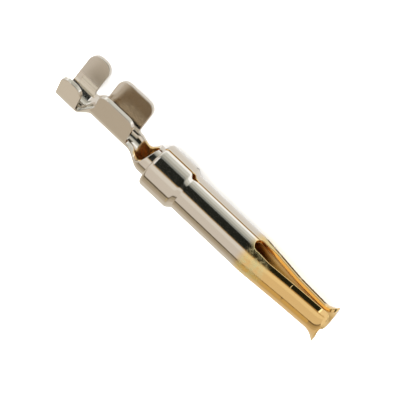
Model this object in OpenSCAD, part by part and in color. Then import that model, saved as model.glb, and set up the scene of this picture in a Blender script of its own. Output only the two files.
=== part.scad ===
// Crimp socket contact, stamped from one strip and rolled into a tube.
// The origin is on the tube's axis, at the front edge of the collar's shoulder, and -X
// points out of the mouth. The contact lies on its side, on the collar and on the tip of
// one insulation wing, so the table is at Z = -collar_od / 2 and the wings open to -Y.
// The modules build it upright, with its mouth to +X, its seam up and its bared slot
// turned to -Y, and the last one lays it down.

/* [Strip] */
// Thickness of the sheet metal
sheet_t = 0.2; // [0.16:0.01:0.22]
// Gap that is left where the rolled edges meet
seam_gap = 0.03; // [0.02:0.01:0.05]

/* [Tube and collar] */
// Outside diameter of the rolled tube
tube_od = 1.82; // [1.7:0.01:1.9]
// Outside diameter of the retention collar
collar_od = 2.18; // [2.12:0.01:2.4]
// Length of the collar, with its shoulder cone
collar_len = 1.74; // [1.4:0.02:1.8]
// Length of the cone at the front of the collar
shoulder_len = 0.24; // [0.16:0.01:0.4]
// Rounding of the collar's rear rim
rim_round = 0.16; // [0.05:0.01:0.18]
// Length of the opening in the seam at the shoulder
notch_len = 0.5; // [0.3:0.02:0.8]
// Width of the opening in the seam at the shoulder
notch_w = 0.22; // [0.1:0.01:0.3]

/* [Tines] */
// Distance from the shoulder to the closed end of the two slots
slot_start = 3.71; // [3:0.05:4.2]
// Width of the slots at their closed end
slot_w = 0.6; // [0.5:0.02:0.7]
// Amount that the upper slot edge gives way just after its closed end
upper_taper = 0.07; // [0:0.01:0.2]
// Amount that the lower slot edge gives way just after its closed end
lower_taper = 0.13; // [0:0.01:0.2]
// Distance over which the slot edges give way
taper_len = 0.8; // [0.4:0.05:1.5]
// Angle between the seam and the middle of the slot beside it
slot_turn = 11; // [0:1:14]
// Distance from the shoulder to the crease where the tines turn flatter
crease_at = 6.09; // [5.4:0.05:6.6]
// Distance from the shoulder to the start of the flared lips
lip_start = 7.51; // [7:0.05:8]
// Length of the flared lips along the axis
lip_len = 0.62; // [0.4:0.02:0.8]
// Angle that the lips open to
lip_angle = 42; // [20:1:50]
// Corner radius of the lips
lip_corner = 0.42; // [0.1:0.01:0.45]
// Inward set of the upper tine at its crease
upper_crease = 0.16; // [0.05:0.01:0.3]
// Inward set of the upper tine at its lip
upper_pinch = 0.24; // [0.1:0.01:0.34]
// Inward set of the lower tine at its crease
lower_crease = 0.27; // [0.05:0.01:0.3]
// Inward set of the lower tine at its lip
lower_pinch = 0.33; // [0.1:0.01:0.4]

/* [Neck between tube and wire barrel] */
// Outside diameter of the stub behind the collar
stub_od = 1.51; // [1.4:0.01:1.6]
// Length of the stub and neck, from the collar to the wire barrel
front_neck_len = 1.45; // [1.2:0.05:1.8]
// Half width of the strip in the front neck
front_neck_half = 0.66; // [0.5:0.01:0.72]
// Length of the stub behind the collar, before its floor starts to rise
stub_len = 0.36; // [0.15:0.01:0.7]
// Length of the neck's floor that stays level in front of the wire barrel
level_len = 0.16; // [0.05:0.01:0.3]
// Distance from the collar to where the rolled edges close
rim_back = 0.2; // [0.08:0.01:0.3]
// How suddenly the edges sweep up to close
rim_power = 4.4; // [2:0.1:5]

/* [Wire barrel] */
// Length of the wire wings
wire_len = 1.93; // [1.5:0.05:2.4]
// Outside radius of the wire barrel's floor
wire_r = 0.61; // [0.5:0.01:0.75]
// Height of the wire barrel's floor below the axis, to its underside
wire_drop = 0.27; // [0.15:0.01:0.5]
// Angle that each wire wing leans outwards
wire_lean = 13; // [3:1:16]
// Length of the straight part of each wire wing
wire_wing = 1.415; // [1.1:0.005:1.7]
// Corner radius of the wire wings
wire_corner = 0.42; // [0.1:0.01:0.5]

/* [Insulation barrel] */
// Length of the neck between the two barrels
rear_neck_len = 0.61; // [0.45:0.01:0.9]
// Half width of the strip in the rear neck
rear_neck_half = 0.86; // [0.7:0.01:0.95]
// Length of the insulation wings
grip_len = 1.12; // [1:0.02:1.5]
// Outside radius of the insulation barrel's floor
grip_r = 0.92; // [0.75:0.01:1.05]
// Height of the insulation barrel's floor below the axis, to its underside
grip_drop = 0.675; // [0.5:0.005:0.85]
// Angle that each insulation wing leans outwards
grip_lean = 17; // [5:1:20]
// Length of the straight part of each insulation wing
grip_wing = 1.3; // [1.2:0.01:1.6]
// Corner radius of the insulation wings
grip_corner = 0.42; // [0.1:0.01:0.5]
// Fillet radius where a wing grows out of a neck
root_fillet = 0.14; // [0.05:0.01:0.2]

/* [Hidden] */
$fn = 96;

// Places along the contact
collar_x = -collar_len;
wire_x1 = collar_x - front_neck_len;
wire_x0 = wire_x1 - wire_len;
grip_x1 = wire_x0 - rear_neck_len;
grip_x0 = grip_x1 - grip_len;
close_x = collar_x - rim_back;
tine_x = slot_start + slot_w / 2;
mouth_x = lip_start + lip_len;

// How deep one formed stretch runs into the next, and how much it is thinned there
lap = 0.05;
thin = 0.012;

// Steps along each corner, in half of a bend, in half of a neck's width, along the two
// necks, in half of a tine's width, and along a lip
corner_steps = 6;
bend_steps = 10;
neck_cols = 12;
rear_rows = 12;
front_rows = 18;
tine_cols = 7;
lip_steps = 16;

// Outside radii of the tube and the collar, and how far back the cone starts inside
tube_r = tube_od / 2;
rim_r = collar_od / 2;
cone_back = sheet_t * tan(atan2(rim_r - tube_r, shoulder_len) / 2);

// Radius of the lips' curl, and half length of the soft bend at the root of a tine
lip_r = lip_len / sin(lip_angle);
bend_half = 0.15;
tine_bend_x = tine_x - bend_half / 2;

// Mid-surface radii of the three bent sections
stub_mid = stub_od / 2 - sheet_t / 2;
wire_mid = wire_r - sheet_t / 2;
grip_mid = grip_r - sheet_t / 2;

// Half width of the flat strip where it closes into a tube
closed_half = PI * stub_mid - seam_gap;

// A section is [mid-surface radius, drop of the underside, angle where the bend ends]
grip_section = [grip_mid, grip_drop, 90 - grip_lean];
wire_section = [wire_mid, wire_drop, 90 - wire_lean];
stub_section = [stub_mid, stub_od / 2, 180];

// Roll that lays the contact on its collar and on the tip of an insulation wing
grip_half = arc_length(grip_mid, 90 - grip_lean) + grip_wing;
tip = bent(grip_section, grip_half, sheet_t / 2);
lie_roll = 180 - atan2(tip[0], tip[1]) - acos(collar_od / 2 / norm(tip));

function arc_length(r, angle) = r * angle * PI / 180;
function mix(a, b, t) = a + (b - a) * t;
function clamp(t) = max(0, min(1, t));
function smooth(t) = let(c = clamp(t)) c * c * (3 - 2 * c);
// Zero before the bend, a straight line after it, and a parabola between
function soft_ramp(d, half) = d < -half ? 0 : d > half ? d : pow(d + half, 2) / (4 * half);
// Height of a quarter circle of radius r over its foot, at distance d from its outer end
function quarter(d, r) = sqrt(max(0, r * r - pow(r - min(d, r), 2)));

// Point [y, z] of a section, at distance s from its centre line along the mid-surface,
// and off along the sheet's outward normal
function bent(section, s, off) =
    let(
        r = section[0],
        zc = r + sheet_t / 2 - section[1],
        side = s < 0 ? -1 : 1,
        angle = min(abs(s) / r * 180 / PI, section[2]),
        wall = abs(s) - arc_length(r, angle)
    )
    [
        side * ((r + off) * sin(angle) + wall * cos(angle)),
        zc - (r + off) * cos(angle) + wall * sin(angle)
    ];

// Points of a rounded corner with its centre at [x, z], between two angles
function rounding(x, z, radius, from, to) =
    [for (i = [0:corner_steps]) let(a = mix(from, to, i / corner_steps))
        [x + radius * cos(a), z + radius * sin(a)]];

// Solid between two grids of points, one above the other, with rows along X and columns along Y
module skin(upper, lower) {
    rows = len(upper);
    cols = len(upper[0]);
    total = rows * cols;
    faces = [
        for (i = [0:rows - 2], j = [0:cols - 2]) let(a = i * cols + j)
            each [[a, a + 1, a + cols + 1], [a, a + cols + 1, a + cols]],
        for (i = [0:rows - 2], j = [0:cols - 2]) let(a = total + i * cols + j)
            each [[a, a + cols + 1, a + 1], [a, a + cols, a + cols + 1]],
        for (i = [0:rows - 2], right = [0, 1]) let(
            a = i * cols + right * (cols - 1),
            b = a + cols,
            quad = [a, b, b + total, a + total]
        )
            each right == 1
                ? [[quad[0], quad[3], quad[2]], [quad[0], quad[2], quad[1]]]
                : [[quad[0], quad[1], quad[2]], [quad[0], quad[2], quad[3]]],
        for (j = [0:cols - 2], last = [0, 1]) let(
            a = last * (rows - 1) * cols + j,
            b = a + 1,
            quad = [a, b, b + total, a + total]
        )
            each last == 1
                ? [[quad[0], quad[1], quad[2]], [quad[0], quad[2], quad[3]]]
                : [[quad[0], quad[3], quad[2]], [quad[0], quad[2], quad[1]]]
    ];
    points = concat([for (row = upper) each row], [for (row = lower) each row]);
    polyhedron(points, faces, convexity = 10);
}

// Open barrel with two straight wings, whose tips have rounded corners
module barrel(x0, len, section, wing, corner) {
    half = arc_length(section[0], section[2]) + wing;
    bend = [for (i = [-bend_steps:bend_steps])
        i / bend_steps * arc_length(section[0], section[2])];
    across = concat([-half], bend, [half]);
    top = bent(section, half, sheet_t / 2)[1];
    channel = concat(
        [for (s = across) bent(section, s, sheet_t / 2)],
        [for (i = [len(across) - 1:-1:0]) bent(section, across[i], -sheet_t / 2)]
    );
    under = -section[1] - sheet_t;
    outline = concat(
        [[0, under]],
        rounding(corner, top - corner, corner, 180, 90),
        rounding(len - corner, top - corner, corner, 90, 0),
        [[len, under]]
    );
    translate([x0, 0, 0]) intersection() {
        rotate([90, 0, 90]) linear_extrude(len) polygon(channel);
        rotate([90, 0, 0]) linear_extrude(4 * top, center = true) polygon(outline);
    }
}

// Height of a concave fillet at distance d from the wing that it runs up to
function root(d) = root_fillet - quarter(d, root_fillet);

// Stretch of strip that changes from one section to the next. Each row is
// [x, share of the change, half width of the strip]. Both ends lap into what they meet.
module transition(x0, x1, from, to, rows) {
    across = [for (i = [-neck_cols:neck_cols]) i / neck_cols];
    ends = concat(
        [[x0 - lap, rows[0][1], rows[0][2], thin], [x0, rows[0][1], rows[0][2], thin / 2]],
        [for (row = rows) [row[0], row[1], row[2], 0]],
        [for (x = [x1, x1 + lap]) let(row = rows[len(rows) - 1])
            [x, row[1], row[2], x == x1 ? thin / 2 : thin]]
    );
    function grid(side) = [
        for (row = ends) let(section = mix(from, to, smooth(row[1])))
            [for (t = across) concat(
                row[0],
                bent(section, t * (row[2] - row[3]), side * (sheet_t / 2 - row[3]))
            )]
    ];
    skin(grid(-1), grid(1));
}

// Low neck between the two barrels
module rear_neck() {
    rows = [for (i = [0:rear_rows]) let(
        t = i / rear_rows,
        x = mix(grip_x1 + thin, wire_x0 - thin, t)
    )
        [x, t, rear_neck_half + root(x - grip_x1) + root(wire_x0 - x)]];
    transition(grip_x1, wire_x0, grip_section, wire_section, rows);
}

// Neck that rises out of the wire barrel and closes into the stub behind the collar
module front_neck() {
    rows = [for (i = [0:front_rows]) let(
        x = mix(wire_x1 + thin, collar_x - thin, i / front_rows),
        sweep = clamp((x - wire_x1) / (close_x - wire_x1))
    )
        [x, (x - wire_x1 - level_len) / (front_neck_len - stub_len - level_len),
            mix(front_neck_half, closed_half, pow(sweep, rim_power)) + root(x - wire_x1)]];
    transition(wire_x1, collar_x, wire_section, stub_section, rows);
}

// Collar and tube, with the seam, its opening at the shoulder and the closed ends of the slots
module rolled_tube() {
    depth = collar_od;
    hole_r = stub_od / 2 - sheet_t;
    profile = concat(
        [[collar_x, hole_r], [collar_x, rim_r - rim_round]],
        rounding(collar_x + rim_round, rim_r - rim_round, rim_round, 180, 90),
        [
            [-shoulder_len, rim_r],
            [0, tube_r],
            [tine_x, tube_r],
            [tine_x, tube_r - sheet_t],
            [-cone_back, tube_r - sheet_t],
            [-shoulder_len - cone_back, rim_r - sheet_t],
            [collar_x + sheet_t, rim_r - sheet_t],
            [collar_x + sheet_t, hole_r]
        ]
    );
    difference() {
        rotate([0, 90, 0]) rotate_extrude() polygon([for (p = profile) [p[1], p[0]]]);
        translate([collar_x - lap, -seam_gap / 2, 0])
            cube([slot_start + slot_w / 3 + lap - collar_x, seam_gap, depth]);
        linear_extrude(depth) polygon([
            [-shoulder_len, 0],
            [-shoulder_len / 2, notch_w / 2],
            [notch_len - shoulder_len, 0],
            [-shoulder_len / 2, -notch_w / 2]
        ]);
        rotate([slot_turn, 0, 0]) translate([tine_x, 0, 0])
            cylinder(h = 2 * depth, d = slot_w, center = true);
    }
}

// Inward set of a tine, which is [set at the crease, set at the lip, widening of the slot]
function inward(x, form) =
    form[0] / (crease_at - tine_bend_x)
    * (soft_ramp(x - tine_bend_x, bend_half) - soft_ramp(x - crease_at, bend_half / 2))
    + (form[1] - form[0]) / (lip_start - crease_at)
    * (soft_ramp(x - crease_at, bend_half / 2) - max(0, x - lip_start));
function slot_half(x, form) =
    slot_w / 2 + form[2] * smooth((x - tine_x) / taper_len)
    + lip_corner - quarter(mouth_x - x, lip_corner);

// A tine row is [x, mid-surface radius, lean of the sheet, inward set, half slot width, inset]
function tine_row(x, lean, rise, form, inset) =
    [x, tube_r - sheet_t / 2 + rise, lean, inward(x, form), slot_half(x, form) + inset, inset];
function tine_rows(form) = concat(
    [
        tine_row(tine_x - lap, 0, 0, form, thin),
        tine_row(tine_x, 0, 0, form, thin / 2),
        for (share = [0.1, 0.35, 0.7, 1])
            tine_row(tine_x + share * taper_len, 0, 0, form, 0),
        for (d = [-1:0.5:1]) tine_row(crease_at + d * bend_half / 2, 0, 0, form, 0)
    ],
    [for (i = [0:lip_steps]) let(lean = i / lip_steps * lip_angle)
        tine_row(lip_start + lip_r * sin(lean), lean, lip_r * (1 - cos(lean)), form, 0)]
);

// One spring tine, rounded about the tube's axis and set towards it, with a flared lip
// that is cut off square to the axis
module tine(form) {
    cols = [-tine_cols:tine_cols];
    function point(row, col, side) =
        let(
            off = side * (sheet_t / 2 - row[5]),
            cut = clamp((row[0] - lip_start) / lip_len),
            r = row[1] + off * mix(cos(row[2]), 1 / cos(row[2]), cut),
            span = 90 - asin(row[4] / r),
            angle = col / tine_cols * span
        )
        [row[0] - off * sin(row[2]) * (1 - cut), r * sin(angle), r * cos(angle) - row[3]];
    rows = tine_rows(form);
    skin(
        [for (row = rows) [for (col = cols) point(row, col, 1)]],
        [for (row = rows) [for (col = cols) point(row, col, -1)]]
    );
}

module socket_contact() {
    color("silver") rotate([-lie_roll, 0, 180]) {
        barrel(grip_x0, grip_len, grip_section, grip_wing, grip_corner);
        rear_neck();
        barrel(wire_x0, wire_len, wire_section, wire_wing, wire_corner);
        front_neck();
        rolled_tube();
    }
    color("gold") rotate([slot_turn - lie_roll, 0, 180]) {
        rotate([90, 0, 0]) tine([upper_crease, upper_pinch, upper_taper]);
        rotate([-90, 0, 0]) tine([lower_crease, lower_pinch, lower_taper]);
    }
}

socket_contact();
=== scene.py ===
import math

import bpy
import numpy as np
from mathutils import Matrix, Vector
from mathutils.geometry import delaunay_2d_cdt


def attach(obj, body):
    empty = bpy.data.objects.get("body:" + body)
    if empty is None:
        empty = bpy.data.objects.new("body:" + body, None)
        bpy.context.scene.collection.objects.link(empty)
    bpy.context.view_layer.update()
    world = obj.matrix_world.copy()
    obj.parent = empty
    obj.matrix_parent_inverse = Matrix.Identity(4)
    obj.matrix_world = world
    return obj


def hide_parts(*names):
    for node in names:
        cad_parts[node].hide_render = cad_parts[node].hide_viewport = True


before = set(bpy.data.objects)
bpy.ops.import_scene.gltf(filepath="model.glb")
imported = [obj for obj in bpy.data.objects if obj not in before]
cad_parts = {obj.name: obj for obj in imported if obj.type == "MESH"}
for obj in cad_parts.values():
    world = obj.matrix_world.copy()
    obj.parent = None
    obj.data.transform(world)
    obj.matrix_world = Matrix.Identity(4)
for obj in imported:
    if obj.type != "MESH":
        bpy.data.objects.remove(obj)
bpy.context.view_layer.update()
scene = bpy.context.scene


# Crimp end: insulation barrel, wire barrel, and the neck in front of each
# Copper alloy strip of 0.2 mm with bright nickel plate. The blank is stamped with straight
# sides and rounded corners, then each place along it is bent about a radius of its own.

# Sizes are millimetres. x runs along the contact towards its mouth, from the front edge of
# the collar's cone, and s across the flat strip from its middle line.
SHEET = 0.2
GRIP_X0, GRIP_X1 = -6.85, -5.73
WIRE_X0, WIRE_X1 = -5.12, -3.19
STUB_X, CLOSE_X, COLLAR_X = -2.10, -1.94, -1.74
LEVEL_LEN = 0.16

# Each bend is [radius at the middle of the sheet, depth of the floor's outer face under
# the axis, angle from the floor to each wing]
GRIP = np.array([0.82, 0.675, math.radians(73)])
WIRE = np.array([0.51, 0.27, math.radians(77)])
STUB = np.array([0.655, 0.755, math.pi])
GRIP_WING, WIRE_WING, STUB_GAP = 1.3, 1.415, 0.03
GRIP_HALF = GRIP[0] * GRIP[2] + GRIP_WING
WIRE_HALF = WIRE[0] * WIRE[2] + WIRE_WING
CLOSED_HALF = math.pi * STUB[0] - STUB_GAP
REAR_NECK_HALF, FRONT_NECK_HALF = 0.86, 0.66
GRIP_ROUND, WIRE_ROUND, NECK_ROUND = 0.46, 0.42, 0.14
NECK_POWER = 4.4
INTO_COLLAR = 0.1


def smooth(t):
    """Zero below 0, one above 1, and 3 t^2 - 2 t^3 between."""
    t = np.clip(t, 0, 1)
    return t * t * (3 - 2 * t)


def crimp_shape(flat, off):
    """Round floor of the place's own radius, then straight wings that leave it along its
    tangent. Radius, drop and angle of the bend change by a smooth step along each neck."""
    x, s = flat[:, 0], flat[:, 1]
    rear = smooth((x - GRIP_X1) / (WIRE_X0 - GRIP_X1))[:, None]
    level_end = WIRE_X1 + LEVEL_LEN
    front = smooth((x - level_end) / (STUB_X - level_end))[:, None]
    section = GRIP + (WIRE - GRIP) * rear + (STUB - WIRE) * front
    r, drop, limit = section.T
    side = np.where(s < 0, -1, 1)
    angle = np.minimum(np.abs(s) / r, limit)
    wall = np.abs(s) - r * angle
    y = side * ((r + off) * np.sin(angle) + wall * np.cos(angle))
    z = r + SHEET / 2 - drop - (r + off) * np.cos(angle) + wall * np.sin(angle)
    return np.stack([x, y, z], -1)


def corner(cx, cs, radius, start, end, steps=10):
    """Points of an arc about (cx, cs): centre plus radius times cosine and sine."""
    a = np.radians(np.linspace(start, end, steps))
    return np.stack([cx + radius * np.cos(a), cs + radius * np.sin(a)], 1)


# Each neck is let in between two barrels. The front one widens by a power of the share of
# the way to the closed stub, from where its fillet ends.
sweep = np.linspace(0.12, 1, 40)
crimp_side = np.concatenate([
    corner(GRIP_X0 + GRIP_ROUND, GRIP_HALF - GRIP_ROUND, GRIP_ROUND, 180, 90),
    corner(GRIP_X1 - GRIP_ROUND, GRIP_HALF - GRIP_ROUND, GRIP_ROUND, 90, 0),
    corner(GRIP_X1 + NECK_ROUND, REAR_NECK_HALF + NECK_ROUND, NECK_ROUND, 180, 270),
    corner(WIRE_X0 - NECK_ROUND, REAR_NECK_HALF + NECK_ROUND, NECK_ROUND, 270, 360),
    corner(WIRE_X0 + WIRE_ROUND, WIRE_HALF - WIRE_ROUND, WIRE_ROUND, 180, 90),
    corner(WIRE_X1 - WIRE_ROUND, WIRE_HALF - WIRE_ROUND, WIRE_ROUND, 90, 0),
    corner(WIRE_X1 + NECK_ROUND, FRONT_NECK_HALF + NECK_ROUND, NECK_ROUND, 180, 270),
    np.stack([WIRE_X1 + (CLOSE_X - WIRE_X1) * sweep,
              FRONT_NECK_HALF + (CLOSED_HALF - FRONT_NECK_HALF) * sweep ** NECK_POWER], 1),
    [[COLLAR_X + INTO_COLLAR, CLOSED_HALF]],
])
crimp_loop = np.concatenate([crimp_side, crimp_side[::-1] * [1, -1]])

CRIMP_STEP = 0.05
WIDEST = 2.4
crimp_lines = (np.arange(GRIP_X0, COLLAR_X, CRIMP_STEP),
               np.arange(-WIDEST, WIDEST + 0.01, CRIMP_STEP))


def fill_line(a, b, step):
    """Points from a towards b, b left out, no more than step apart."""
    a, b = np.asarray(a, float), np.asarray(b, float)
    count = max(1, math.ceil(np.linalg.norm(b - a) / step))
    t = np.arange(count)[:, None] / count
    return a + (b - a) * t


def dense_loop(points, step):
    """Closed outline through the points, with more points on its long sides."""
    following = np.roll(points, -1, axis=0)
    return np.concatenate([fill_line(a, b, step) for a, b in zip(points, following)
                           if np.linalg.norm(b - a) > 1e-6])


def inside(points, loop, margin):
    """True where a point lies in the loop and at least margin from its sides. Each side
    that a level ray crosses turns the answer over, and the distance to a side is that to
    the nearest point between its ends."""
    a, b = loop, np.roll(loop, -1, axis=0)
    side = b - a
    rise = np.where(side[:, 1] == 0, 1, side[:, 1])
    kept = []
    for part in np.array_split(points, max(1, len(points) // 500)):
        p = part[:, None, :]
        crosses = (a[:, 1] > p[..., 1]) != (b[:, 1] > p[..., 1])
        at = a[:, 0] + (p[..., 1] - a[:, 1]) * side[:, 0] / rise
        odd = (crosses & (at > p[..., 0])).sum(1) % 2 == 1
        t = np.clip(((p - a) * side).sum(-1) / (side * side).sum(-1), 0, 1)
        near = np.linalg.norm(p - a - t[..., None] * side, axis=-1).min(1)
        kept.append(odd & (near > margin))
    return np.concatenate(kept)


LIE_ROLL = math.radians(82.5)


def to_world(p):
    """Rolls the upright contact onto its side about its axis, turns it to face -X, and
    changes millimetres to metres."""
    x, y, z = p[..., 0], p[..., 1], p[..., 2]
    c, s = math.cos(LIE_ROLL), math.sin(LIE_ROLL)
    return np.stack([-x, -(y * c + z * s), z * c - y * s], -1) / 1000


def unit(v):
    """Vectors divided by their lengths."""
    return v / np.maximum(np.linalg.norm(v, axis=-1, keepdims=True), 1e-12)


EDGE = 0.035
EDGE_MARGIN = EDGE * 1.8
SLOPE_STEP = 1e-4


def formed_sheet(name, loop, lines, shape, shares):
    """Closed sheet from a flat outline. Both faces carry the same flat triangles, set in
    from the outline by the edge radius. Rings of points between them round the cut edge
    by a quarter circle on each side. shape(flat, off) gives the place of a flat point at
    height off over the middle of the sheet. Normals come from its slopes. shares gives an
    attribute at each point from its flat place and its share of the half thickness."""
    ahead = np.roll(loop, -1, axis=0) - np.roll(loop, 1, axis=0)
    out = unit(np.stack([ahead[:, 1], -ahead[:, 0]], 1))
    following = np.roll(loop, -1, axis=0)
    area = np.sum(loop[:, 0] * following[:, 1] - loop[:, 1] * following[:, 0])
    out = out * np.sign(area)
    grid = np.stack(np.meshgrid(*lines, indexing="ij"), -1).reshape(-1, 2)
    grid = grid[inside(grid, loop, EDGE_MARGIN)]
    flat = np.concatenate([loop - out * EDGE, grid])
    count = len(loop)
    found = delaunay_2d_cdt([Vector(p) for p in flat], [], [list(range(count))], 1, 1e-7)
    flat = np.array([tuple(p) for p in found[0]])
    flat_faces = np.array(found[2])
    rim = np.zeros(count, int)
    for index, origins in enumerate(found[3]):
        for origin in origins:
            if origin < count:
                rim[origin] = index

    def normal(p, off):
        """Cross product of the two slopes, on the side that a greater height lies."""
        du = shape(p + [SLOPE_STEP, 0], off) - shape(p - [SLOPE_STEP, 0], off)
        ds = shape(p + [0, SLOPE_STEP], off) - shape(p - [0, SLOPE_STEP], off)
        n = unit(np.cross(du, ds))
        up = shape(p, off + SLOPE_STEP) - shape(p, off)
        return n * np.sign((n * up).sum(-1, keepdims=True))

    total = len(flat)
    places = [shape(flat, SHEET / 2), shape(flat, -SHEET / 2)]
    normals = [normal(flat, SHEET / 2), -normal(flat, -SHEET / 2)]
    offs = [np.full(total, 1.0), np.full(total, -1.0)]
    flats = [flat, flat]
    # From the upper face down to the lower one, with the flat of the cut at the middle
    turns = np.radians([22.5, 45, 67.5, 90, 90, 112.5, 135, 157.5])
    rings = len(turns)
    middles = np.where(np.arange(rings) < rings / 2, SHEET / 2 - EDGE, EDGE - SHEET / 2)
    for turn, height in zip(turns, middles + EDGE * np.cos(turns)):
        p = loop - out * EDGE * (1 - math.sin(turn))
        n = normal(p, height)
        side = shape(p + out * SLOPE_STEP, height) - shape(p - out * SLOPE_STEP, height)
        side = unit(side - n * (side * n).sum(-1, keepdims=True))
        places.append(shape(p, height))
        normals.append(n * math.cos(turn) + side * math.sin(turn))
        offs.append(np.full(count, 2 * height / SHEET))
        flats.append(p)
    around = [2 * total + k * count + np.arange(count) for k in range(rings)]
    around = [rim] + around + [rim + total]
    faces = [flat_faces, flat_faces + total]
    for upper, lower in zip(around[:-1], around[1:]):
        nxt, low_nxt = np.roll(upper, -1), np.roll(lower, -1)
        faces += [np.stack([upper, nxt, low_nxt], 1), np.stack([upper, low_nxt, lower], 1)]
    faces = np.concatenate(faces)
    places, normals = np.concatenate(places), np.concatenate(normals)
    corners = places[faces]
    facing = np.cross(corners[:, 1] - corners[:, 0], corners[:, 2] - corners[:, 0])
    wrong = (facing * normals[faces].sum(1)).sum(1) < 0
    faces[wrong] = faces[wrong][:, ::-1]

    mesh = bpy.data.meshes.new(name)
    mesh.from_pydata(to_world(places).tolist(), [], faces.tolist())
    mesh.polygons.foreach_set("use_smooth", np.ones(len(faces), bool))
    for key, share in shares.items():
        values = mesh.attributes.new(key, "FLOAT", "POINT")
        values.data.foreach_set("value", share(np.concatenate(flats), np.concatenate(offs)))
    mesh.update()
    mesh.normals_split_custom_set_from_vertices((to_world(normals) * 1000).tolist())
    piece = bpy.data.objects.new(name, mesh)
    scene.collection.objects.link(piece)
    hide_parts("socket_contact")
    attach(piece, "root")
    return piece


def linear(code):
    """Colour values that shade by light, from an sRGB hex code."""
    parts = [int(code[i:i + 2], 16) / 255 for i in (0, 2, 4)]
    return [p / 12.92 if p <= 0.04045 else ((p + 0.055) / 1.055) ** 2.4 for p in parts] + [1]


def add_node(material, kind, values=(), links=()):
    """One node, with its settings and inputs, and links from (node, output) to inputs."""
    node = material.node_tree.nodes.new(kind)
    for key, value in dict(values).items():
        if isinstance(key, str) and hasattr(node, key):
            setattr(node, key, value)
        else:
            node.inputs[key].default_value = value
    for key, (source, output) in dict(links).items():
        material.node_tree.links.new(source.outputs[output], node.inputs[key])
    return node


# Nickel plate over the whole strip, warm and bright as a mirror, and gold plate on the
# socket end. Rolling and forming leave fine waves in both, 0.3 mm apart and three times as
# long along the strip, which make reflections tremble. The gold is pale and hazy in
# patches over the roots of the tines. Inside the tube it is satin, and its gold is painted
# a little paler there as painted light; behind the slots it is painted deeper as painted
# shade, standing in for light that reaches it only by many bounces.
NICKEL = "D6CDC0"
# Inner golds: paler inside the tube as painted light, deeper behind the slots as painted
# shade
GOLD, BORE_GOLD_PAINTED_LIGHT, ROOT_GOLD_PAINTED_SHADE, HAZY_GOLD = "E8C384", "F2D296", "C08A45", "E2D59E"
BRIGHT, SATIN = 0.1, 0.36
WAVE, WAVE_DEPTH = 0.3, 0.0016

plate = bpy.data.materials.new("nickel_plate_with_gold_plated_socket")
plate.use_nodes = True
plate.node_tree.nodes.clear()
share = {key: add_node(plate, "ShaderNodeAttribute", {"attribute_name": key})
         for key in ("gold", "bore", "root", "hazy", "satin")}
place = add_node(plate, "ShaderNodeTexCoord")
along_strip = add_node(plate, "ShaderNodeMapping", {"Scale": (0.35, 1, 1)},
                       {"Vector": (place, "Object")})
waves = add_node(plate, "ShaderNodeTexNoise",
                 {"Scale": 1000 / WAVE, "Detail": 3.0, "Roughness": 0.6},
                 {"Vector": (along_strip, "Vector")})
bump = add_node(plate, "ShaderNodeBump", {"Strength": 1.0, "Distance": WAVE_DEPTH / 1000},
                {"Height": (waves, "Fac")})
spots = add_node(plate, "ShaderNodeTexNoise",
                 {"Scale": 1000 / WAVE, "Detail": 4.0, "Roughness": 0.65},
                 {"Vector": (place, "Object")})
patches = add_node(plate, "ShaderNodeMapRange", {"From Min": 0.38, "From Max": 0.64},
                   {"Value": (spots, "Fac")})
haze = add_node(plate, "ShaderNodeMath", {"operation": "MULTIPLY"},
                {0: (share["hazy"], "Fac"), 1: (patches, "Result")})
# Inside the sheet the gold is painted: paler as painted light, deeper behind the slots as
# painted shade
bore_painted_light_and_shade = add_node(plate, "ShaderNodeMix",
                      {"data_type": "RGBA", 6: linear(BORE_GOLD_PAINTED_LIGHT), 7: linear(ROOT_GOLD_PAINTED_SHADE)},
                      {0: (share["root"], "Fac")})
clear_gold = add_node(plate, "ShaderNodeMix", {"data_type": "RGBA", 6: linear(GOLD)},
                      {0: (share["bore"], "Fac"), 7: (bore_painted_light_and_shade, 2)})
gold_color = add_node(plate, "ShaderNodeMix", {"data_type": "RGBA", 7: linear(HAZY_GOLD)},
                      {0: (haze, 0), 6: (clear_gold, 2)})
plate_color = add_node(plate, "ShaderNodeMix", {"data_type": "RGBA", 6: linear(NICKEL)},
                       {0: (share["gold"], "Fac"), 7: (gold_color, 2)})
dull = add_node(plate, "ShaderNodeMath", {"operation": "MAXIMUM"},
                {0: (haze, 0), 1: (share["satin"], "Fac")})
roughness = add_node(plate, "ShaderNodeMapRange", {"To Min": BRIGHT, "To Max": SATIN},
                     {"Value": (dull, 0)})
plate_shader = add_node(plate, "ShaderNodeBsdfPrincipled", {"Metallic": 1.0},
                        {"Base Color": (plate_color, 2), "Roughness": (roughness, "Result"),
                         "Normal": (bump, "Normal")})
add_node(plate, "ShaderNodeOutputMaterial", links={"Surface": (plate_shader, "BSDF")})

INNER_GOLD_X, INNER_SATIN_X, PLATE_BLUR = -2.78, -2.8, 0.1
WING_S, WING_BLUR = 1.1, 0.2
GRIP_SATIN, WIRE_SATIN, STUB_SATIN = 0.8, 0.2, 0.6


def crimp_gold(flat, off):
    """Nickel all over, but for the inside of the stub, where the tube's gold begins."""
    return smooth((flat[:, 0] - INNER_GOLD_X) / PLATE_BLUR) * (off < 0)


def crimp_satin(flat, off):
    """Satin inner face of the far wings, most on the insulation wing, and of the stub."""
    x, s = flat[:, 0], flat[:, 1]
    wing = smooth((s - WING_S) / WING_BLUR) * (x < WIRE_X1)
    wing = wing * np.where(x < GRIP_X1 + 0.2, GRIP_SATIN, WIRE_SATIN)
    stub = STUB_SATIN * smooth((x - INNER_SATIN_X) / PLATE_BLUR)
    return np.maximum(wing, stub) * (off < -0.9)


def inner_face(flat, off):
    """One on the inner face of the sheet, and zero on its edge and its outer face."""
    return 1.0 * (off < -0.9)


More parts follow.
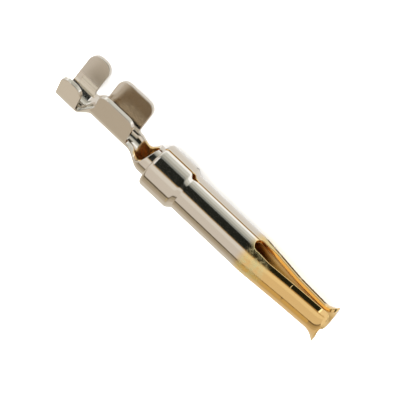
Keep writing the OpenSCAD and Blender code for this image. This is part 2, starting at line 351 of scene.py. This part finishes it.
crimp_end = formed_sheet("crimp_end", dense_loop(crimp_loop, CRIMP_STEP), crimp_lines,
                         crimp_shape,
                         {"gold": crimp_gold, "satin": crimp_satin, "bore": inner_face})
crimp_end.data.materials.append(plate)


# Socket end: retention collar, tube and the two flared spring tines
# The same strip, rolled about the axis until its edges meet in the seam. The collar's
# front and rear are drawn in, and the tines, which carry gold plate, are bent together.

COLLAR_R, TUBE_R, REAR_HOLE_R = 1.09, 0.91, 0.555
CONE_LEN, WALL_ROUND, CONE_ROUND = 0.24, 0.06, 0.12
MID_R = TUBE_R - SHEET / 2
ROUND = 2 * math.pi * MID_R
SEAM_HALF = 0.006
SLOT_ANGLE = math.radians(11)
SLOT_START, SLOT_R = 3.71, 0.3
TINE_X = SLOT_START + SLOT_R
BEND_X, CREASE_X, LIP_X = TINE_X - 0.075, 6.09, 7.51
ROOT_BEND, CREASE_BEND = 0.15, 0.05
CREASE_HEIGHT, CREASE_WIDTH = 0.006, 0.03
LIP_LEN, LIP_LEAN, LIP_CORNER = 0.62, math.radians(42), 0.42
UPPER = {"crease": 0.16, "lip": 0.24, "widen": 0.07}
LOWER = {"crease": 0.27, "lip": 0.33, "widen": 0.13}
WIDEN_LEN = 0.8

# The profile is the middle of the sheet in a plane through the axis, from the hole in the
# rear wall to the mouth. Each stretch is [its length, its lean at the start and the end].
cone_lean = math.atan2(COLLAR_R - TUBE_R, CONE_LEN)
cone_bend = CONE_ROUND * cone_lean
cone_back = CONE_ROUND * math.tan(cone_lean / 2)
lip_r = LIP_LEN / math.sin(LIP_LEAN)
stretches = [
    [COLLAR_R - SHEET / 2 - WALL_ROUND - REAR_HOLE_R, math.pi / 2, math.pi / 2],
    [WALL_ROUND * math.pi / 2, math.pi / 2, 0],
    [-COLLAR_X - SHEET / 2 - WALL_ROUND - CONE_LEN - cone_back, 0, 0],
    [cone_bend, 0, -cone_lean],
    [math.hypot(COLLAR_R - TUBE_R, CONE_LEN) - 2 * cone_back, -cone_lean, -cone_lean],
    [cone_bend, -cone_lean, 0],
    [LIP_X - cone_back, 0, 0],
    [lip_r * LIP_LEAN, 0, LIP_LEAN],
]
ends = np.concatenate([[0], np.cumsum([s[0] for s in stretches])])
run = np.linspace(0, ends[-1], 6001)
which = np.minimum(np.searchsorted(ends, run, side="right") - 1, len(stretches) - 1)
table = np.array(stretches)[which]
lean = table[:, 1] + (table[:, 2] - table[:, 1]) * (run - ends[which]) / table[:, 0]
mid_lean = (lean[1:] + lean[:-1]) / 2
profile_x = np.concatenate([[0], np.cumsum(np.cos(mid_lean) * run[1])])
profile_r = np.concatenate([[0], np.cumsum(np.sin(mid_lean) * run[1])])
profile_x += LIP_X - np.interp(ends[7], run, profile_x)
profile_r += MID_R - np.interp(ends[7], run, profile_r)


def run_at(x):
    """Distance along the profile at which it reaches x, in front of the collar's rim."""
    start = np.searchsorted(run, ends[2])
    return np.interp(x, profile_x[start:], run[start:])


def ramp(d, half):
    """Zero before the bend, the distance after it, and a parabola between."""
    return np.where(d < -half, 0, np.where(d > half, d, (d + half) ** 2 / (4 * half)))


def socket_shape(flat, off):
    """Profile turned about the axis. From the closed ends of the slots each tine also
    leans towards the axis, and less so from the crease to the lip. A bell curve raises
    the crease. The thickness of a lip turns from its own normal to straight outwards at
    the mouth, where it is cut square."""
    u, angle = flat[:, 0], flat[:, 1] / MID_R
    tilt = np.interp(u, run, lean)
    level = np.interp(u, run, profile_x)
    cut = np.clip((level - LIP_X) / LIP_LEN, 0, 1)
    x = level - off * np.sin(tilt) * (1 - cut)
    r = np.interp(u, run, profile_r) + off * ((1 - cut) * np.cos(tilt) + cut / np.cos(tilt))
    r += CREASE_HEIGHT * np.exp(-((level - CREASE_X) / CREASE_WIDTH) ** 2)
    near = (angle > SLOT_ANGLE) & (angle < SLOT_ANGLE + math.pi)
    crease = np.where(near, UPPER["crease"], LOWER["crease"])
    lip = np.where(near, UPPER["lip"], LOWER["lip"])
    at_crease = ramp(level - CREASE_X, CREASE_BEND)
    inward = crease / (CREASE_X - BEND_X) * (ramp(level - BEND_X, ROOT_BEND) - at_crease)
    inward += (lip - crease) / (LIP_X - CREASE_X) * (at_crease
                                                     - ramp(level - LIP_X, CREASE_BEND))
    towards = np.where(near, SLOT_ANGLE + math.pi / 2, SLOT_ANGLE - math.pi / 2)
    y = -(r * np.sin(angle) - inward * np.sin(towards))
    z = r * np.cos(angle) - inward * np.cos(towards)
    return np.stack([x, y, z], -1)


# Slot edges from the closed end to the mouth, as [distance along, angle from the slot]
EDGE_POINTS = 80
turn = np.radians(np.linspace(0, 90, 16))
round_end = np.stack([run_at(TINE_X - SLOT_R * np.cos(turn)),
                      np.arcsin(SLOT_R * np.sin(turn) / TUBE_R)], 1)
straight = np.linspace(run_at(TINE_X) + 0.05, ends[-1] - LIP_CORNER, EDGE_POINTS)
tip_turn = np.radians(np.linspace(6, 90, 16))
edge_run = np.concatenate([straight, ends[-1] - LIP_CORNER * (1 - np.sin(tip_turn))])
edge_x, edge_r = np.interp(edge_run, run, profile_x), np.interp(edge_run, run, profile_r)
rounded = np.concatenate([np.zeros(EDGE_POINTS), LIP_CORNER * (1 - np.cos(tip_turn))])


def slot_edge(widen):
    """Half circle, then an edge that gives way by a smooth step and rounds the lip."""
    half = SLOT_R + widen * smooth((edge_x - TINE_X) / WIDEN_LEN) + rounded
    angle = np.arcsin(half / (edge_r + SHEET / 2))
    return np.concatenate([round_end, np.stack([edge_run, angle], 1)])


upper_edge, lower_edge = slot_edge(UPPER["widen"]), slot_edge(LOWER["widen"])

# The seam opens in a small notch at the cone, and runs into the round end of the slot
# beside it, on both sides. Each is [distance along, distance round from the seam].
notch = [[-CONE_LEN, SEAM_HALF], [-0.12, 0.11], [0.23, SEAM_HALF]]
seam_edge = np.array([[0, SEAM_HALF]] + [[float(run_at(x)), s] for x, s in notch])


def meet(angle):
    """Distance along the profile at which the slot's round end reaches an angle."""
    return float(run_at(TINE_X - math.sqrt(SLOT_R ** 2 - (TUBE_R * math.sin(angle)) ** 2)))


END_TURN = 0.33
near_turns = np.linspace(-SLOT_ANGLE + SEAM_HALF / MID_R, -0.02, 8)
near_end = np.array([[meet(a), (SLOT_ANGLE + a) * MID_R] for a in near_turns])
far_turns = np.linspace(-SLOT_ANGLE - SEAM_HALF / MID_R, -END_TURN, 8)
far_end = np.array([[meet(a), ROUND + (SLOT_ANGLE + a) * MID_R] for a in far_turns])
far_edge = lower_edge[lower_edge[:, 1] > END_TURN + 0.005]
socket_loop = np.concatenate([
    seam_edge,
    near_end,
    upper_edge * [1, MID_R] + [0, SLOT_ANGLE * MID_R],
    (upper_edge * [1, -MID_R] + [0, (SLOT_ANGLE + math.pi) * MID_R])[::-1],
    (lower_edge * [1, MID_R] + [0, (SLOT_ANGLE + math.pi) * MID_R])[1:],
    (far_edge * [1, -MID_R] + [0, ROUND + SLOT_ANGLE * MID_R])[::-1],
    far_end[::-1],
    (seam_edge * [1, -1] + [0, ROUND])[::-1],
])

# Lines of points across the blank, closest together where the profile bends
PLAIN_STEP = 0.12
SOCKET_STEP = 0.08
rows = np.unique(np.round(np.concatenate([
    np.linspace(0, ends[1], 6), np.linspace(ends[1], ends[2], 7),
    np.arange(ends[2], ends[3], PLAIN_STEP), np.linspace(ends[3], ends[4], 6),
    np.linspace(ends[4], ends[5], 4), np.linspace(ends[5], ends[6], 6),
    np.arange(ends[6] + 0.1, run_at(CREASE_X - 0.1), PLAIN_STEP),
    run_at(np.linspace(SLOT_START, TINE_X, 12)),
    run_at(CREASE_X) + np.linspace(-0.07, 0.07, 9),
    np.arange(run_at(CREASE_X) + PLAIN_STEP, ends[7], PLAIN_STEP),
    np.linspace(ends[7], ends[8], 22),
]), 4))
socket_lines = (rows, np.linspace(0.02, ROUND - 0.02, 96))

# Each zone of plating and painted shade is [where it begins, the length over which it does]
GOLD_ZONE = [3.4, 0.45]
HAZE_ZONE, HAZE_END = [3.5, 0.3], [4.6, 0.5]
ROOT_SHADE_ZONE, ROOT_SHADE_END = [2.0, 1.0], [4.0, 0.8]
SEAM_PLATE = 0.13


def zone(flat, bounds):
    """Zero before a place along the contact, then a smooth step up to one."""
    return smooth((np.interp(flat[:, 0], run, profile_x) - bounds[0]) / bounds[1])


def socket_gold(flat, off):
    """Gold on the tines outside, all the way back inside the tube, and in the seam."""
    in_seam = np.abs(flat[:, 1] - ROUND / 2) > ROUND / 2 - SEAM_PLATE
    return np.maximum(zone(flat, GOLD_ZONE), 1.0 * ((off < -0.9) | in_seam & (off < 0.98)))


def socket_haze(flat, off):
    """Haze on the outside, over the roots of the tines."""
    return zone(flat, HAZE_ZONE) * (1 - zone(flat, HAZE_END)) * (off > 0.9)


def slot_root_painted_shade(flat, off):
    """Inside of the tube at the roots of the tines, where a deeper gold is painted as painted
    shade.
    """
    return zone(flat, ROOT_SHADE_ZONE) * (1 - zone(flat, ROOT_SHADE_END)) * (off < -0.9)


def socket_satin(flat, off):
    """Satin inside, and bright on the edge and the outside."""
    return 0.8 * inner_face(flat, off)


socket_end = formed_sheet("socket_end", dense_loop(socket_loop, SOCKET_STEP), socket_lines,
                          socket_shape, {"gold": socket_gold, "hazy": socket_haze,
                                         "satin": socket_satin, "bore": inner_face,
                                         "root": slot_root_painted_shade})
socket_end.data.materials.append(plate)


# Table: matt white board under the contact, which lies on its collar and on the tip of one
# insulation wing. Reflections look through it to the low cards, which stand for a wide and
# brightly lit table.

FLOOR_Z = -COLLAR_R / 1000
FLOOR_HALF = 0.6
floor_mesh = bpy.data.meshes.new("floor")
floor_mesh.from_pydata([(x * FLOOR_HALF, y * FLOOR_HALF, FLOOR_Z)
                        for x, y in ((-1, -1), (1, -1), (1, 1), (-1, 1))], [], [(0, 1, 2, 3)])
floor_paint = bpy.data.materials.new("matt_white_table")
floor_paint.use_nodes = True
floor_paint.node_tree.nodes.clear()
floor_shader = add_node(floor_paint, "ShaderNodeBsdfPrincipled",
                        {"Base Color": linear("F2F1EF"), "Roughness": 0.9})
add_node(floor_paint, "ShaderNodeOutputMaterial", links={"Surface": (floor_shader, "BSDF")})
floor_mesh.materials.append(floor_paint)
floor = bpy.data.objects.new("floor", floor_mesh)
scene.collection.objects.link(floor)
floor.visible_glossy = False


# Studio cards: pale paper and a dark gap round the camera, that only reflections see
# Each stands on an arc across the contact, so bands of light and dark run along it. Three
# narrow ones stand a little nearer than the rest, where only the leaning tines see them.

CARD_R, NEAR_CARD_R = 0.2, 0.19


def arc_card(name, start, end, color, level=1, low=-0.5, high=0.5, radius=CARD_R):
    """Card with a plain light of its own, between two angles round the contact's axis and
    two distances along it. Angles are elevations over the front horizon, so 90 is overhead
    and 180 is the back horizon. Distances and the radius are metres."""
    a, b = math.radians(start), math.radians(end)
    corners = [(low, -radius * math.cos(a), radius * math.sin(a)),
               (high, -radius * math.cos(a), radius * math.sin(a)),
               (high, -radius * math.cos(b), radius * math.sin(b)),
               (low, -radius * math.cos(b), radius * math.sin(b))]
    mesh = bpy.data.meshes.new(name)
    mesh.from_pydata(corners, [], [(0, 1, 2, 3)])
    material = bpy.data.materials.new(name)
    material.use_nodes = True
    material.node_tree.nodes.clear()
    glow = add_node(material, "ShaderNodeEmission",
                    {"Color": linear(color), "Strength": level})
    add_node(material, "ShaderNodeOutputMaterial", links={"Surface": (glow, "Emission")})
    mesh.materials.append(material)
    piece = bpy.data.objects.new(name, mesh)
    scene.collection.objects.link(piece)
    piece.visible_camera = False
    piece.visible_diffuse = False
    piece.visible_shadow = False


arc_card("low_front", -128.3, -83.3, "FAFBFB")
arc_card("low_front_2", -83.3, -43.3, "F9F8F6")
arc_card("front_sheet", -43.3, -20.3, "F1F8FF", 1.6)
arc_card("front_sheet_top", -20.3, -4.3, "EFF5F4")
arc_card("front_shade", -4.3, 9.7, "CED1CC")
arc_card("front_dusk", 9.7, 18.7, "9BA1A1")
arc_card("gap_round_the_camera", 18.7, 61.2, "222520", 1, -0.5, 0.05)
arc_card("bright_end", 18.7, 61.7, "F1F7FF", 2.05, 0.05, 0.085)
arc_card("shade_under_the_tines", -132, -86, "524930", 1, -0.004, 0.0125, NEAR_CARD_R)
arc_card("brown_edge_over_the_gap", 61.2, 66.2, "BDA379")
arc_card("soft_top_front", 66.2, 85.7, "FCFAF5")
arc_card("soft_top_back", 85.7, 131.7, "EDE7E0")
arc_card("card_edge", 131.7, 140.4, "6E6353")
arc_card("card_edge_by_the_mouth", 131.7, 136, "8A7A58", 1, -0.03, 0.012, NEAR_CARD_R)
arc_card("backdrop_by_the_mouth", 136, 164, "D8C69A", 1, -0.03, 0.012, NEAR_CARD_R)
arc_card("backdrop", 140.4, 155, "BCB19B")
arc_card("backdrop_middle", 155, 164, "CEC3B0")
arc_card("backdrop_low_top", 164, 171, "D0C6B6")
arc_card("backdrop_low_middle", 171, 178, "E8E0D3")
arc_card("backdrop_low", 178, 201.7, "E8E2D7")
arc_card("low_back", 201.7, 231.7, "EEEBE2")


# Room: white for the camera and in reflections, and brighter for the table, which then
# shows as white as the paper of the photograph, with a faint shadow from two soft lamps.

TABLE_LIGHT = 2.8
world = bpy.data.worlds.new("white_room")
scene.world = world
world.use_nodes = True
world.node_tree.nodes.clear()
light_path = add_node(world, "ShaderNodeLightPath")
seen = add_node(world, "ShaderNodeMath", {"operation": "MAXIMUM"},
                {0: (light_path, "Is Camera Ray"), 1: (light_path, "Is Glossy Ray")})
seen = add_node(world, "ShaderNodeMath", {"operation": "MAXIMUM"},
                {0: (seen, 0), 1: (light_path, "Is Transmission Ray")})
strength = add_node(world, "ShaderNodeMapRange", {"To Min": TABLE_LIGHT, "To Max": 1.0},
                    {"Value": (seen, 0)})
sky = add_node(world, "ShaderNodeBackground", {"Color": (1, 1, 1, 1)},
               {"Strength": (strength, "Result")})
add_node(world, "ShaderNodeOutputWorld", links={"Surface": (sky, "Background")})


def lamp(name, place, size, energy):
    """Square area lamp that faces the contact."""
    light = bpy.data.lights.new(name, "AREA")
    light.size = size
    light.energy = energy
    piece = bpy.data.objects.new(name, light)
    piece.location = place
    piece.rotation_euler = Vector(place).to_track_quat("Z", "Y").to_euler()
    piece.visible_glossy = False
    scene.collection.objects.link(piece)


lamp("top_lamp", (-0.05, 0.05, 0.3), 0.3, 0.25)
lamp("front_lamp", (0.05, -0.3, 0.2), 0.25, 0.15)


# Camera: the photograph's angle, through a long lens, in front of the open side and above it
# level_up and level_right are the directions of the photograph when it is turned until the
# contact is level.

PHOTO_TURN = math.radians(43.3)
YAW = math.radians(7.3)
REACH = 0.149
along_axis = Vector((-1, 0, 0))
level_up = Vector((0, -0.7986, -0.6018)).normalized()
to_viewer = along_axis.cross(level_up).normalized()
view = to_viewer * math.cos(YAW) + along_axis * math.sin(YAW)
level_right = along_axis * math.cos(YAW) - to_viewer * math.sin(YAW)
right = level_right * math.cos(PHOTO_TURN) + level_up * math.sin(PHOTO_TURN)
up = level_up * math.cos(PHOTO_TURN) - level_right * math.sin(PHOTO_TURN)
target = along_axis * 0.703e-3 + level_up * 0.151e-3
camera_data = bpy.data.cameras.new("camera")
camera_data.lens = 320.4
camera_data.sensor_width = 36
camera_data.clip_start = 0.01
camera_data.clip_end = 10
camera = bpy.data.objects.new("camera", camera_data)
turned = Matrix((right, up, view)).transposed().to_4x4()
camera.matrix_world = Matrix.Translation(target + view * REACH) @ turned
scene.collection.objects.link(camera)
scene.camera = camera
scene.view_settings.view_transform = "Standard"
scene.cycles.glossy_bounces = 12
